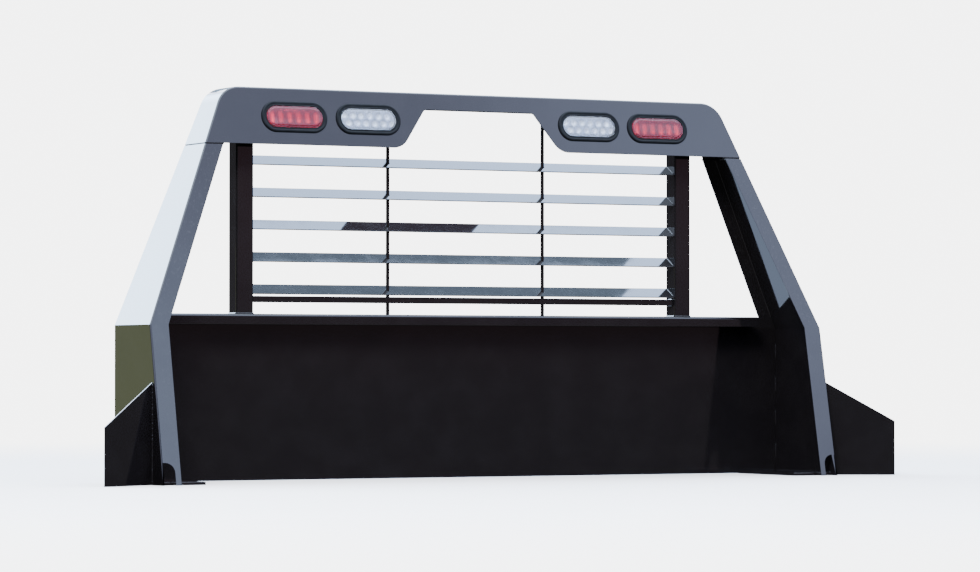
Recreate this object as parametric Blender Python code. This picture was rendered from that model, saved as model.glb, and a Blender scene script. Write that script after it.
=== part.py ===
"""Headache rack for a flatbed truck.

Metres, +Z up. +X is the passenger side, +Y is toward the cab, the deck is Z = 0.
The rack is a welded steel frame: a bulkhead at deck level, two bent channel legs,
a head panel with four push-in oval lamps, and a fixed louvre in front of the cab
window. The rear faces of the legs and of the head panel lie in one plane that
leans toward the cab.
"""

import math

import bmesh
import bpy
from mathutils import Matrix, Vector

# ---------------------------------------------------------------- driving sizes
GAP = 0.0003                    # clearance between touching pieces
SHEET = 0.003                   # formed sheet thickness
RACK_HEIGHT = 1.050
FRONT_Y = 0.1765                # cab-side plane of the whole rack
REAR_Y_AT_DECK = -0.1465        # rear face where it meets the deck
LEAN = math.radians(11.74)      # forward lean of the rear faces

BEND_Z = 0.415                  # where the lower leg becomes the upper leg
SEAM_Z = 0.8965                 # where the upper leg becomes the head panel
LEG_OUTER_X = 1.030             # outside of the lower legs
LEG_SLOPE = 0.4179              # inward run per metre of rise of the upper legs
REAR_FLANGE = 0.0525            # width of the rear flange measured along X
FRONT_FLANGE = 0.045            # width of the front flange measured along X
HEAD_CORNER_RADIUS = 0.070
HEAD_LIP = 0.040                # cab-side lip around the head panel

CUTOUT_TOP_Z = 1.004
CUTOUT_TOP_HALF = 0.167         # half width where slanted side and top edge meet
CUTOUT_BOTTOM_HALF = 0.244      # half width where slanted side and bottom edge meet
CUTOUT_TOP_RADIUS = 0.016
CUTOUT_BOTTOM_RADIUS = 0.055

PANEL_TOP_Z = 0.4465
RAIL_HALF_LENGTH = 0.930
RAIL_REAR_Y = 0.1075
RAIL_TOP_Z = 0.447
RAIL_LIP = 0.028
RAIL_CORNER = 0.007

POST_SIZE = 0.0508
POST_CORNER = 0.005
POST_INNER_X = 0.655
POST_REAR_Y = 0.1125

SLAT_COUNT = 5
SLAT_WIDTH = 0.050
SLAT_ANGLE = math.radians(31.0)
SLAT_TOP_CENTRE_Z = 0.859
SLAT_PITCH = 0.0865
LOUVRE_Y = 0.139
ROD_RADIUS = 0.005
ROD_X = 0.241
ROD_HOLE_RADIUS = 0.0054
BAR_BOTTOM_Z = 0.478
BAR_HEIGHT = 0.017
BAR_DEPTH = 0.030

WING_ROOT_Y = -0.0745           # where the wing leaves the side of the leg
WING_END_X = 1.2045
WING_SWEEP = 0.575              # rearward run per metre outboard
WING_TOP_Z = 0.265
WING_FALL = 0.648               # drop of the top edge per metre outboard
WING_THICKNESS = 0.005

BASE_THICKNESS = 0.008
BASE_INNER_X = 0.900
BASE_REAR_Y = -0.125
BASE_HOLE_RADIUS = 0.007
BASE_HOLE_X = 0.945
BASE_HOLES_Y = (-0.060, 0.110)

LAMP_X = (-0.5625, -0.342, 0.342, 0.5625)
LAMP_KINDS = ("red", "clear", "clear", "red")
LAMP_Z = 0.9715
HOLE_LENGTH = 0.178
HOLE_HEIGHT = 0.070
GROMMET_LENGTH = 0.191
GROMMET_HEIGHT = 0.085
GROMMET_PROUD = 0.0055
GROMMET_BACK = 0.009
LAMP_LENGTH = 0.1646
LAMP_HEIGHT = 0.0580
LENS_PROUD = 0.0065
LENS_THICKNESS = 0.0045
HOUSING_DEPTH = 0.026
HOUSING_WALL = 0.0025
BOARD_LENGTH = 0.1500
BOARD_HEIGHT = 0.0430
BOARD_THICKNESS = 0.0016
ARC_STEPS = 10                  # segments of a half circle on the oval parts

REACH = 3.0                     # larger than anything in the rack

# ---------------------------------------------------------------- scene set-up
for old in list(bpy.data.objects):
    bpy.data.objects.remove(old, do_unlink=True)

rack = bpy.data.collections.new("headache_rack")
bpy.context.scene.collection.children.link(rack)
cutters = bpy.data.collections.new("cutters")
bpy.context.scene.collection.children.link(cutters)


def paint(name, color, roughness, metallic=0.0, transmission=0.0):
    """Principled material."""
    mat = bpy.data.materials.new(name)
    mat.use_nodes = True
    shader = mat.node_tree.nodes["Principled BSDF"]
    shader.inputs["Base Color"].default_value = (*color, 1.0)
    shader.inputs["Roughness"].default_value = roughness
    shader.inputs["Metallic"].default_value = metallic
    shader.inputs["Transmission Weight"].default_value = transmission
    return mat


black_paint = paint("black_paint", (0.016, 0.016, 0.019), 0.22)
rubber = paint("rubber", (0.022, 0.022, 0.023), 0.75)
red_lens = paint("red_lens", (0.42, 0.015, 0.025), 0.12)
clear_lens = paint("clear_lens", (0.74, 0.78, 0.82), 0.10)
housing_plastic = paint("housing_plastic", (0.030, 0.030, 0.032), 0.50)
board_coating = paint("board_coating", (0.55, 0.56, 0.57), 0.45)


def add(name, mesh, material, smooth=False):
    """Put a finished mesh into the rack collection as one named piece."""
    obj = bpy.data.objects.new(name, mesh)
    rack.objects.link(obj)
    mesh.materials.clear()
    mesh.materials.append(material)
    mesh.shade_flat()
    if smooth:
        mesh.shade_smooth()
    return obj


def add_cutter(name, mesh):
    """Put a mesh into the cutter collection, hidden from renders."""
    obj = bpy.data.objects.new(name, mesh)
    cutters.objects.link(obj)
    obj.hide_render = True
    obj.display_type = "WIRE"
    return obj


def difference(obj, *tools):
    """Cut each tool out of obj and keep the result as its mesh."""
    for tool in tools:
        cut = obj.modifiers.new("cut", "BOOLEAN")
        cut.operation = "DIFFERENCE"
        cut.solver = "EXACT"
        cut.object = tool
    return apply_modifiers(obj)


def union(obj, tool):
    """Fuse tool into obj and keep the result as its mesh."""
    join = obj.modifiers.new("join", "BOOLEAN")
    join.operation = "UNION"
    join.solver = "EXACT"
    join.object = tool
    return apply_modifiers(obj)


def apply_modifiers(obj):
    """Replace the mesh of obj by its evaluated mesh."""
    bpy.context.view_layer.update()
    graph = bpy.context.evaluated_depsgraph_get()
    result = bpy.data.meshes.new_from_object(obj.evaluated_get(graph))
    result.name = obj.name
    obj.modifiers.clear()
    obj.data = result
    return obj


def convex_block(name, planes):
    """Block bounded by planes, each given as (point, outward normal)."""
    bm = bmesh.new()
    bmesh.ops.create_cube(bm, size=2.0 * REACH)
    for point, normal in planes:
        geometry = bm.verts[:] + bm.edges[:] + bm.faces[:]
        bmesh.ops.bisect_plane(
            bm,
            geom=geometry,
            dist=1e-7,
            plane_co=Vector(point),
            plane_no=Vector(normal).normalized(),
            clear_outer=True,
        )
        rim = [edge for edge in bm.edges if edge.is_boundary]
        bmesh.ops.holes_fill(bm, edges=rim, sides=0)
    bmesh.ops.recalc_face_normals(bm, faces=bm.faces[:])
    mesh = bpy.data.meshes.new(name)
    bm.to_mesh(mesh)
    bm.free()
    return mesh


def outline_mesh(name, loops, thickness, rounding=0.0, rounding_steps=2):
    """Flat plate from closed outlines, centred on its own XY plane."""
    curve = bpy.data.curves.new(name, "CURVE")
    curve.dimensions = "2D"
    curve.fill_mode = "BOTH"
    curve.extrude = thickness / 2.0 - rounding
    curve.bevel_depth = rounding
    curve.bevel_resolution = rounding_steps
    curve.offset = -rounding
    for loop in loops:
        spline = curve.splines.new("POLY")
        spline.points.add(len(loop) - 1)
        for point, (x, y) in zip(spline.points, loop):
            point.co = (x, y, 0.0, 1.0)
        spline.use_cyclic_u = True
    holder = bpy.data.objects.new(name, curve)
    cutters.objects.link(holder)
    bpy.context.view_layer.update()
    graph = bpy.context.evaluated_depsgraph_get()
    mesh = bpy.data.meshes.new_from_object(holder.evaluated_get(graph))
    bpy.data.objects.remove(holder, do_unlink=True)
    bm = bmesh.new()
    bm.from_mesh(mesh)
    bmesh.ops.remove_doubles(bm, verts=bm.verts[:], dist=1e-5)
    bmesh.ops.recalc_face_normals(bm, faces=bm.faces[:])
    bm.to_mesh(mesh)
    bm.free()
    mesh.name = name
    return mesh


def stadium(length, height, steps=ARC_STEPS):
    """Outline of an oval made of two straight sides and two half circles."""
    radius = height / 2.0
    straight = length / 2.0 - radius
    loop = []
    for side in (1.0, -1.0):
        for step in range(steps + 1):
            angle = math.pi * step / steps - math.pi / 2.0
            loop.append((
                side * (straight + radius * math.cos(angle)),
                side * radius * math.sin(angle),
            ))
    return loop


def fillet(previous, corner, following, radius, steps):
    """Points of a round corner between two straight edges."""
    corner = Vector(corner)
    back = (Vector(previous) - corner).normalized()
    ahead = (Vector(following) - corner).normalized()
    half = back.angle(ahead) / 2.0
    run = radius / math.tan(half)
    centre = corner + (back + ahead).normalized() * radius / math.sin(half)
    start = corner + back * run - centre
    end = corner + ahead * run - centre
    total = start.angle(end)
    points = []
    for step in range(steps + 1):
        share = step / steps
        arm = (
            start * math.sin((1.0 - share) * total)
            + end * math.sin(share * total)
        ) / math.sin(total)
        points.append(tuple(centre + arm))
    return points


def rear_y(z):
    """Y of the leaning rear face at height z."""
    return REAR_Y_AT_DECK + z * math.tan(LEAN)


REAR_NORMAL = (0.0, -math.cos(LEAN), math.sin(LEAN))
FORWARD = (0.0, 1.0, 0.0)
UP = (0.0, 0.0, 1.0)
DOWN = (0.0, 0.0, -1.0)


def rear_plane(inset):
    """The leaning rear plane moved toward the cab by inset."""
    return ((0.0, rear_y(0.0) + inset / math.cos(LEAN), 0.0), REAR_NORMAL)


def upper_outer_x(z):
    """Outside of the upper leg at height z."""
    return LEG_OUTER_X - (z - BEND_Z) * LEG_SLOPE


def mirrored(mesh, name):
    """Copy of a mesh reflected to the other side of the rack."""
    copy = mesh.copy()
    copy.name = name
    bm = bmesh.new()
    bm.from_mesh(copy)
    bmesh.ops.scale(bm, vec=(-1.0, 1.0, 1.0), verts=bm.verts[:])
    bmesh.ops.reverse_faces(bm, faces=bm.faces[:])
    bm.to_mesh(copy)
    bm.free()
    return copy


def add_pair(stem, right_obj):
    """Name the right-hand piece and add its mirror on the left."""
    right_obj.name = stem + "_right"
    material = right_obj.data.materials[0]
    add(stem + "_left", mirrored(right_obj.data, stem + "_left"), material)


# ---------------------------------------------------------------- lower legs
lower_leg = add("lower_leg", convex_block("lower_leg", [
    rear_plane(0.0),
    ((0.0, FRONT_Y, 0.0), FORWARD),
    ((LEG_OUTER_X, 0.0, 0.0), (1.0, 0.0, 0.0)),
    ((LEG_OUTER_X - REAR_FLANGE, 0.0, 0.0), (-1.0, 0.0, 0.0)),
    ((0.0, 0.0, BEND_Z - GAP / 2.0), UP),
    ((0.0, 0.0, 0.0), DOWN),
]), black_paint)
lower_cavity = add_cutter("lower_cavity", convex_block("lower_cavity", [
    rear_plane(SHEET),
    ((0.0, FRONT_Y - SHEET, 0.0), FORWARD),
    ((LEG_OUTER_X - SHEET, 0.0, 0.0), (1.0, 0.0, 0.0)),
    ((0.5, 0.0, 0.0), (-1.0, 0.0, 0.0)),
]))
lower_front_trim = add_cutter("lower_front_trim", convex_block("lower_front_trim", [
    ((0.0, FRONT_Y - 0.02, 0.0), (0.0, -1.0, 0.0)),
    ((LEG_OUTER_X - FRONT_FLANGE, 0.0, 0.0), (1.0, 0.0, 0.0)),
    ((0.5, 0.0, 0.0), (-1.0, 0.0, 0.0)),
]))
NOTCH_WIDTH = 0.034
NOTCH_HEIGHT = 0.058
NOTCH_RADIUS = 0.026
notch_loop = [
    (LEG_OUTER_X - SHEET, -0.02),
    (LEG_OUTER_X - SHEET, NOTCH_HEIGHT),
]
notch_loop += fillet(
    (LEG_OUTER_X - SHEET, NOTCH_HEIGHT),
    (LEG_OUTER_X - SHEET - NOTCH_WIDTH, NOTCH_HEIGHT),
    (LEG_OUTER_X - SHEET - NOTCH_WIDTH, -0.02),
    NOTCH_RADIUS,
    6,
)
notch_loop.append((LEG_OUTER_X - SHEET - NOTCH_WIDTH, -0.02))
foot_notch = add_cutter("foot_notch", outline_mesh("foot_notch", [notch_loop], 0.06))
foot_notch.rotation_euler = (math.radians(90.0), 0.0, 0.0)
foot_notch.location = (0.0, rear_y(0.0), 0.0)
difference(lower_leg, lower_cavity, lower_front_trim, foot_notch)
add_pair("lower_leg", lower_leg)

# ---------------------------------------------------------------- upper legs
SLOPE_NORMAL = (1.0, 0.0, LEG_SLOPE)
SLOPE_LENGTH = math.hypot(1.0, LEG_SLOPE)


def slope_plane(run, sign):
    """Plane along the upper leg, moved inboard by run along X."""
    normal = tuple(sign * part for part in SLOPE_NORMAL)
    return ((LEG_OUTER_X - run, 0.0, BEND_Z), normal)


upper_leg = add("upper_leg", convex_block("upper_leg", [
    rear_plane(0.0),
    ((0.0, FRONT_Y, 0.0), FORWARD),
    slope_plane(0.0, 1.0),
    slope_plane(REAR_FLANGE, -1.0),
    ((0.0, 0.0, SEAM_Z - GAP / 2.0), UP),
    ((0.0, 0.0, BEND_Z + GAP / 2.0), DOWN),
]), black_paint)
upper_cavity = add_cutter("upper_cavity", convex_block("upper_cavity", [
    rear_plane(SHEET),
    ((0.0, FRONT_Y - SHEET, 0.0), FORWARD),
    slope_plane(SHEET * SLOPE_LENGTH, 1.0),
    ((0.3, 0.0, 0.0), (-1.0, 0.0, 0.0)),
]))
upper_front_trim = add_cutter("upper_front_trim", convex_block("upper_front_trim", [
    ((0.0, FRONT_Y - 0.02, 0.0), (0.0, -1.0, 0.0)),
    slope_plane(FRONT_FLANGE, 1.0),
    ((0.3, 0.0, 0.0), (-1.0, 0.0, 0.0)),
]))
difference(upper_leg, upper_cavity, upper_front_trim)
add_pair("upper_leg", upper_leg)

# ---------------------------------------------------------------- head panel
head_bottom_x = upper_outer_x(SEAM_Z)
head_corner_x = upper_outer_x(RACK_HEIGHT)


def head_outline(inset, bottom_z, radius, steps):
    """Half-round-cornered outline of the head panel, inset from its edge."""
    run = inset * SLOPE_LENGTH
    top = RACK_HEIGHT - inset
    low_x = upper_outer_x(bottom_z) - run
    top_x = upper_outer_x(top) - run
    right = fillet((low_x, bottom_z), (top_x, top), (0.0, top), radius, steps)
    left = [(-x, z) for x, z in reversed(right)]
    return [(low_x, bottom_z)] + right + left + [(-low_x, bottom_z)]


def prism_along_y(name, loops, y_start, y_end):
    """Outline given as (x, z), extruded from y_start to y_end."""
    mesh = outline_mesh(name, loops, y_end - y_start)
    turn = Matrix.Rotation(math.radians(90.0), 4, "X")
    shift = Matrix.Translation((0.0, (y_start + y_end) / 2.0, 0.0))
    mesh.transform(shift @ turn)
    return mesh


head = add("head_panel", prism_along_y(
    "head_panel",
    [head_outline(0.0, SEAM_Z + GAP / 2.0, HEAD_CORNER_RADIUS, 8)],
    -0.10,
    FRONT_Y,
), black_paint)
behind_head = add_cutter("behind_head", convex_block("behind_head", [
    ((0.0, REAR_Y_AT_DECK, 0.0), tuple(-part for part in REAR_NORMAL)),
    ((0.0, 0.0, 0.5), DOWN),
]))
head_cavity = add_cutter("head_cavity", prism_along_y(
    "head_cavity",
    [head_outline(SHEET, SEAM_Z - 0.05, HEAD_CORNER_RADIUS - SHEET, 8)],
    -0.20,
    FRONT_Y - SHEET,
))
keep_rear_sheet = add_cutter("keep_rear_sheet", convex_block("keep_rear_sheet", [
    (
        (0.0, REAR_Y_AT_DECK + SHEET / math.cos(LEAN), 0.0),
        tuple(-part for part in REAR_NORMAL),
    ),
    ((0.0, 0.0, 0.5), DOWN),
]))
difference(head_cavity, keep_rear_sheet)
head_front_opening = add_cutter("head_front_opening", prism_along_y(
    "head_front_opening",
    [head_outline(HEAD_LIP, SEAM_Z - 0.05, 0.020, 5)],
    FRONT_Y - 0.02,
    FRONT_Y + 0.05,
))
cut_low = SEAM_Z - 0.06
cutout_half = fillet(
    (CUTOUT_BOTTOM_HALF + 0.1, SEAM_Z),
    (CUTOUT_BOTTOM_HALF, SEAM_Z),
    (CUTOUT_TOP_HALF, CUTOUT_TOP_Z),
    CUTOUT_BOTTOM_RADIUS,
    7,
)
cutout_half += fillet(
    (CUTOUT_BOTTOM_HALF, SEAM_Z),
    (CUTOUT_TOP_HALF, CUTOUT_TOP_Z),
    (0.0, CUTOUT_TOP_Z),
    CUTOUT_TOP_RADIUS,
    5,
)
cutout_loop = [(cutout_half[0][0], cut_low)] + cutout_half
cutout_loop += [(-x, z) for x, z in reversed(cutout_loop)]
cutout = add_cutter("cutout", prism_along_y("cutout", [cutout_loop], -0.20, 0.12))


def lamp_frame(x):
    """Placement of a lamp: its own Z points out of the leaning face."""
    turn = Matrix.Rotation(math.radians(90.0) - LEAN, 4, "X")
    return Matrix.Translation((x, rear_y(LAMP_Z), LAMP_Z)) @ turn


lamp_holes = []
for number, lamp_x in enumerate(LAMP_X, start=1):
    hole = add_cutter(
        f"lamp_hole_{number}",
        outline_mesh(f"lamp_hole_{number}", [stadium(HOLE_LENGTH, HOLE_HEIGHT)], 0.04),
    )
    hole.matrix_world = lamp_frame(lamp_x)
    lamp_holes.append(hole)
difference(head, behind_head, head_cavity, head_front_opening, cutout, *lamp_holes)

# ---------------------------------------------------------------- bulkhead
panel_front = FRONT_Y - SHEET - GAP
panel_rear = panel_front - SHEET
panel_low_x = LEG_OUTER_X - SHEET - GAP
panel_top_x = upper_outer_x(PANEL_TOP_Z) - (SHEET + GAP) * SLOPE_LENGTH
panel_right = [
    (panel_low_x, 0.0005),
    (panel_low_x, BEND_Z - 0.001),
    (panel_top_x, PANEL_TOP_Z),
]
panel_loop = panel_right + [(-x, z) for x, z in reversed(panel_right)]
add("bulkhead_panel", prism_along_y(
    "bulkhead_panel", [panel_loop], panel_rear, panel_front,
), black_paint)

rail_front = panel_rear - GAP
rail_low = RAIL_TOP_Z - RAIL_LIP


def rail_section(inset, corner):
    """Inverted channel, given as (y, z), with a round rear top corner."""
    return fillet(
        (RAIL_REAR_Y + inset, rail_low),
        (RAIL_REAR_Y + inset, RAIL_TOP_Z - inset),
        (rail_front - inset, RAIL_TOP_Z - inset),
        corner,
        5,
    )


rail_loop = [(RAIL_REAR_Y, rail_low)]
rail_loop += rail_section(0.0, RAIL_CORNER)
rail_loop += [
    (rail_front, RAIL_TOP_Z),
    (rail_front, rail_low),
    (rail_front - SHEET, rail_low),
    (rail_front - SHEET, RAIL_TOP_Z - SHEET),
]
rail_loop += reversed(rail_section(SHEET, RAIL_CORNER - SHEET))
rail_loop.append((RAIL_REAR_Y + SHEET, rail_low))
rail_mesh = outline_mesh("bulkhead_top_rail", [rail_loop], 2.0 * RAIL_HALF_LENGTH)
along_x = Matrix(((0.0, 0.0, 1.0, 0.0), (1.0, 0.0, 0.0, 0.0),
                  (0.0, 1.0, 0.0, 0.0), (0.0, 0.0, 0.0, 1.0)))
rail_mesh.transform(along_x)
add("bulkhead_top_rail", rail_mesh, black_paint)

# ---------------------------------------------------------------- louvre posts
post_bottom = RAIL_TOP_Z + GAP
post_top = RACK_HEIGHT - SHEET - GAP
half_post = POST_SIZE / 2.0
post_corners = [
    (half_post, half_post), (-half_post, half_post),
    (-half_post, -half_post), (half_post, -half_post),
]


def rounded_square(corners, radius, steps):
    """Square outline with round corners."""
    loop = []
    for index, corner in enumerate(corners):
        before = corners[index - 1]
        after = corners[(index + 1) % len(corners)]
        loop += fillet(before, corner, after, radius, steps)
    return loop


tube_outer = rounded_square(post_corners, POST_CORNER, 4)
inner_share = (half_post - SHEET) / half_post
inner_corners = [(x * inner_share, y * inner_share) for x, y in post_corners]
tube_inner = rounded_square(inner_corners, POST_CORNER - SHEET, 2)
post_mesh = outline_mesh("louvre_post", [tube_outer, tube_inner], post_top - post_bottom)
for side, sign in (("right", 1.0), ("left", -1.0)):
    post = add("louvre_post_" + side, post_mesh, black_paint)
    post.location = (
        sign * (POST_INNER_X + half_post),
        POST_REAR_Y + half_post,
        (post_top + post_bottom) / 2.0,
    )

# ---------------------------------------------------------------- louvre slats
slat_half = POST_INNER_X - GAP
slat_loop = [
    (-slat_half, -SLAT_WIDTH / 2.0), (slat_half, -SLAT_WIDTH / 2.0),
    (slat_half, SLAT_WIDTH / 2.0), (-slat_half, SLAT_WIDTH / 2.0),
]
blank = add("louvre_slat", outline_mesh("louvre_slat", [slat_loop], SHEET), black_paint)
blank.rotation_euler = (SLAT_ANGLE, 0.0, 0.0)
rod_cutters = []
for side, sign in (("right", 1.0), ("left", -1.0)):
    bm = bmesh.new()
    bmesh.ops.create_cone(
        bm, cap_ends=True, segments=20,
        radius1=ROD_HOLE_RADIUS, radius2=ROD_HOLE_RADIUS, depth=0.08,
    )
    hole_mesh = bpy.data.meshes.new("rod_hole_" + side)
    bm.to_mesh(hole_mesh)
    bm.free()
    rod_hole = add_cutter("rod_hole_" + side, hole_mesh)
    rod_hole.location = (sign * ROD_X, 0.0, 0.0)
    rod_cutters.append(rod_hole)
difference(blank, *rod_cutters)
slat_mesh = blank.data
bpy.data.objects.remove(blank, do_unlink=True)
for number in range(SLAT_COUNT):
    slat = add(f"louvre_slat_{number + 1}", slat_mesh, black_paint)
    slat.rotation_euler = (SLAT_ANGLE, 0.0, 0.0)
    slat.location = (0.0, LOUVRE_Y, SLAT_TOP_CENTRE_Z - number * SLAT_PITCH)

bar_loop = [
    (-slat_half, -BAR_DEPTH / 2.0), (slat_half, -BAR_DEPTH / 2.0),
    (slat_half, BAR_DEPTH / 2.0), (-slat_half, BAR_DEPTH / 2.0),
]
bar = add("louvre_bottom_bar", outline_mesh("louvre_bottom_bar", [bar_loop], BAR_HEIGHT),
          black_paint)
difference(bar, *rod_cutters)
bar.location = (0.0, LOUVRE_Y, BAR_BOTTOM_Z + BAR_HEIGHT / 2.0)

# ---------------------------------------------------------------- rods
bm = bmesh.new()
bmesh.ops.create_cone(
    bm, cap_ends=True, segments=16,
    radius1=ROD_RADIUS, radius2=ROD_RADIUS, depth=post_top - post_bottom,
)
rod_mesh = bpy.data.meshes.new("louvre_rod")
bm.to_mesh(rod_mesh)
bm.free()
for side, sign in (("right", 1.0), ("left", -1.0)):
    rod = add("louvre_rod_" + side, rod_mesh, black_paint, smooth=True)
    rod.location = (sign * ROD_X, LOUVRE_Y, (post_top + post_bottom) / 2.0)

# ---------------------------------------------------------------- wings
sweep_length = math.hypot(1.0, WING_SWEEP)
wing_normal = (WING_SWEEP, 1.0, 0.0)
wing_half = WING_THICKNESS / 2.0 * sweep_length
wing = add("wing", convex_block("wing", [
    ((LEG_OUTER_X, WING_ROOT_Y + wing_half, 0.0), wing_normal),
    ((LEG_OUTER_X, WING_ROOT_Y - wing_half, 0.0), tuple(-part for part in wing_normal)),
    ((LEG_OUTER_X + GAP, 0.0, 0.0), (-1.0, 0.0, 0.0)),
    ((WING_END_X, 0.0, 0.0), (1.0, 0.0, 0.0)),
    ((0.0, -FRONT_Y, 0.0), (0.0, -1.0, 0.0)),
    ((0.0, 0.0, 0.0), DOWN),
    ((LEG_OUTER_X, 0.0, WING_TOP_Z), (WING_FALL, 0.0, 1.0)),
]), black_paint)
add_pair("wing", wing)

# ---------------------------------------------------------------- base plates
base_outer_x = LEG_OUTER_X - SHEET - GAP
base_front_y = panel_rear - GAP
base_loop = [
    (BASE_INNER_X, BASE_REAR_Y), (base_outer_x, BASE_REAR_Y),
    (base_outer_x, base_front_y), (BASE_INNER_X, base_front_y),
]
bolt_loops = []
for hole_y in BASE_HOLES_Y:
    bolt_loops.append([
        (
            BASE_HOLE_X + BASE_HOLE_RADIUS * math.cos(math.tau * step / 20),
            hole_y + BASE_HOLE_RADIUS * math.sin(math.tau * step / 20),
        )
        for step in range(20)
    ])
base_mesh = outline_mesh("base_plate", [base_loop] + bolt_loops, BASE_THICKNESS)
base_mesh.transform(Matrix.Translation((0.0, 0.0, BASE_THICKNESS / 2.0)))
base = add("base_plate", base_mesh, black_paint)
add_pair("base_plate", base)

# ---------------------------------------------------------------- lamps
def swept_ring(name, length, height, profile):
    """Ring along an oval path; profile points are (outward, along lamp axis)."""
    section = bpy.data.curves.new(name + "_section", "CURVE")
    section.dimensions = "2D"
    section.fill_mode = "NONE"
    outline = section.splines.new("POLY")
    outline.points.add(len(profile) - 1)
    for point, (out, axial) in zip(outline.points, profile):
        point.co = (out, axial, 0.0, 1.0)
    outline.use_cyclic_u = True
    section_obj = bpy.data.objects.new(name + "_section", section)
    cutters.objects.link(section_obj)
    path = bpy.data.curves.new(name, "CURVE")
    path.dimensions = "3D"
    path.twist_mode = "Z_UP"
    path.bevel_mode = "OBJECT"
    path.bevel_object = section_obj
    spline = path.splines.new("POLY")
    loop = stadium(length, height)
    spline.points.add(len(loop) - 1)
    for point, (x, y) in zip(spline.points, loop):
        point.co = (x, y, 0.0, 1.0)
    spline.use_cyclic_u = True
    holder = bpy.data.objects.new(name, path)
    cutters.objects.link(holder)
    bpy.context.view_layer.update()
    graph = bpy.context.evaluated_depsgraph_get()
    mesh = bpy.data.meshes.new_from_object(holder.evaluated_get(graph))
    bpy.data.objects.remove(holder, do_unlink=True)
    bpy.data.objects.remove(section_obj, do_unlink=True)
    bm = bmesh.new()
    bm.from_mesh(mesh)
    bmesh.ops.remove_doubles(bm, verts=bm.verts[:], dist=1e-5)
    bmesh.ops.recalc_face_normals(bm, faces=bm.faces[:])
    bm.to_mesh(mesh)
    bm.free()
    return mesh


inner_out = (LAMP_HEIGHT - HOLE_HEIGHT) / 2.0 + GAP
outer_out = (GROMMET_HEIGHT - HOLE_HEIGHT) / 2.0
grommet_profile = [
    (inner_out, -GROMMET_BACK - SHEET),
    (outer_out - 0.003, -GROMMET_BACK - SHEET),
    (outer_out - 0.002, -GROMMET_BACK - SHEET + 0.002),
    (outer_out - 0.002, -SHEET - GAP),
    (-GAP, -SHEET - GAP),
    (-GAP, GAP),
    (outer_out, GAP),
    (outer_out, GROMMET_PROUD - 0.0025),
    (outer_out - 0.0015, GROMMET_PROUD - 0.0006),
    (outer_out - 0.004, GROMMET_PROUD),
    (inner_out + 0.002, GROMMET_PROUD),
    (inner_out, GROMMET_PROUD - 0.0015),
]
grommet_mesh = swept_ring("lamp_grommet", HOLE_LENGTH, HOLE_HEIGHT, grommet_profile)

lens_mesh = outline_mesh(
    "lamp_lens", [stadium(LAMP_LENGTH, LAMP_HEIGHT)], LENS_THICKNESS, 0.0018, 2,
)
lens_mesh.transform(Matrix.Translation((0.0, 0.0, LENS_PROUD - LENS_THICKNESS / 2.0)))

housing_top = LENS_PROUD - LENS_THICKNESS - GAP
housing_mesh = outline_mesh("lamp_housing", [stadium(LAMP_LENGTH, LAMP_HEIGHT)], HOUSING_DEPTH)
housing_mesh.transform(Matrix.Translation((0.0, 0.0, housing_top - HOUSING_DEPTH / 2.0)))
housing = add("lamp_housing", housing_mesh, housing_plastic)
pocket_floor = housing_top - 0.012
pocket_depth = 0.030
pocket = add_cutter("lamp_pocket", outline_mesh(
    "lamp_pocket",
    [stadium(LAMP_LENGTH - 2.0 * HOUSING_WALL, LAMP_HEIGHT - 2.0 * HOUSING_WALL)],
    pocket_depth,
))
pocket.location = (0.0, 0.0, pocket_floor + pocket_depth / 2.0)
back_relief_loop = stadium(LAMP_LENGTH - 0.012, LAMP_HEIGHT - 0.012)
back_relief = add_cutter("lamp_back_relief", outline_mesh(
    "lamp_back_relief", [stadium(LAMP_LENGTH + 0.03, LAMP_HEIGHT + 0.03), back_relief_loop], 0.020,
))
back_relief.location = (0.0, 0.0, housing_top - HOUSING_DEPTH - 0.0025)
SOCKET_SIZE = 0.022
SOCKET_LENGTH = 0.016
socket_loop = [
    (-SOCKET_SIZE, -SOCKET_SIZE / 2.0), (SOCKET_SIZE, -SOCKET_SIZE / 2.0),
    (SOCKET_SIZE, SOCKET_SIZE / 2.0), (-SOCKET_SIZE, SOCKET_SIZE / 2.0),
]
socket = add_cutter("lamp_socket", outline_mesh("lamp_socket", [socket_loop], SOCKET_LENGTH))
socket.location = (0.0, 0.0, housing_top - HOUSING_DEPTH - SOCKET_LENGTH / 2.0 + 0.004)
bore_loop = [(x * 0.84, y * 0.76) for x, y in socket_loop]
socket_bore = add_cutter("lamp_socket_bore", outline_mesh("lamp_socket_bore", [bore_loop], 0.020))
socket_bore.location = (0.0, 0.0, housing_top - HOUSING_DEPTH - 0.014)
difference(housing, pocket, back_relief)
union(housing, socket)
difference(housing, socket_bore)
housing_mesh = housing.data
bpy.data.objects.remove(housing, do_unlink=True)

board_mesh = outline_mesh("lamp_board", [stadium(BOARD_LENGTH, BOARD_HEIGHT)], BOARD_THICKNESS)
board_mesh.transform(Matrix.Translation(
    (0.0, 0.0, pocket_floor + GAP + BOARD_THICKNESS / 2.0),
))
lens_meshes = {"red": lens_mesh, "clear": lens_mesh.copy()}
lens_paints = {"red": red_lens, "clear": clear_lens}
for number, (lamp_x, kind) in enumerate(zip(LAMP_X, LAMP_KINDS), start=1):
    pieces = [
        add(f"lamp_grommet_{number}", grommet_mesh, rubber),
        add(f"lamp_lens_{number}", lens_meshes[kind], lens_paints[kind]),
        add(f"lamp_housing_{number}", housing_mesh, housing_plastic),
        add(f"lamp_board_{number}", board_mesh, board_coating),
    ]
    for piece in pieces:
        piece.matrix_world = lamp_frame(lamp_x)
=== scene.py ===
"""Looks of the headache rack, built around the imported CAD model.

Metres, +Z up, +X the passenger side, +Y toward the cab, deck at Z = 0. Every piece
stands where its CAD node stands. Formed sheets get their bend radii, cut edges their
rounding, joints their weld beads, and the lamps their optics.
"""
import math
import random

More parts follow.
